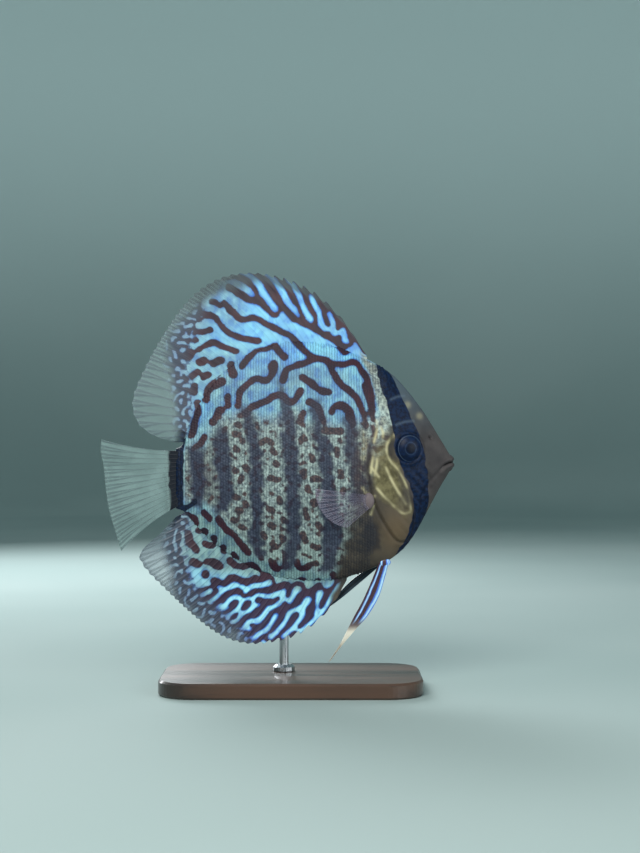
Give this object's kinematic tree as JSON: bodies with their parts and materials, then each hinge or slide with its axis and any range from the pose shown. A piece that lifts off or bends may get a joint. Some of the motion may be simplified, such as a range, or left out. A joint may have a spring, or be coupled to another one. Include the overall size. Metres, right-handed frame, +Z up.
{
  "type": "discus fish display model",
  "caption": "Life-size still model of a disc-shaped aquarium fish with ridged fins, held on a flat base by a rod.",
  "frame": {"origin": "on the floor, under the middle of the whole model's box", "axes": "+X towards the fish's snout, +Y to the fish's left, +Z up"},
  "size_m": [0.1365, 0.056, 0.1603],
  "materials": {
    "body_skin": "wet scaled skin, pale blue and cream with dark red stripes and dark bars",
    "head_skin": "smooth olive gold skin with one black band through the eye",
    "striped_fin": "turquoise fin with dark red stripes, clear at its rear edge",
    "clear_fin": "see-through grey membrane between fine rays",
    "eye": "glossy dark eye with thin pale rings",
    "stand_base": "dark stained wood, satin",
    "stand_rod": "brushed metal"
  },
  "bodies": {
    "root": {"head": "head_skin", "gill_cover_right": "head_skin", "gill_cover_left": "head_skin", "eye_right": "eye", "eye_left": "eye", "trunk": "body_skin", "tail_stem": "body_skin", "dorsal_fin": "striped_fin", "anal_fin": "striped_fin", "tail_fin": "clear_fin", "pectoral_fin_right": "clear_fin", "pectoral_fin_left": "clear_fin", "pelvic_fin_right": "striped_fin", "pelvic_fin_left": "striped_fin", "stand_base": "stand_base", "stand_rod": "stand_rod"}
  },
  "joints": []
}
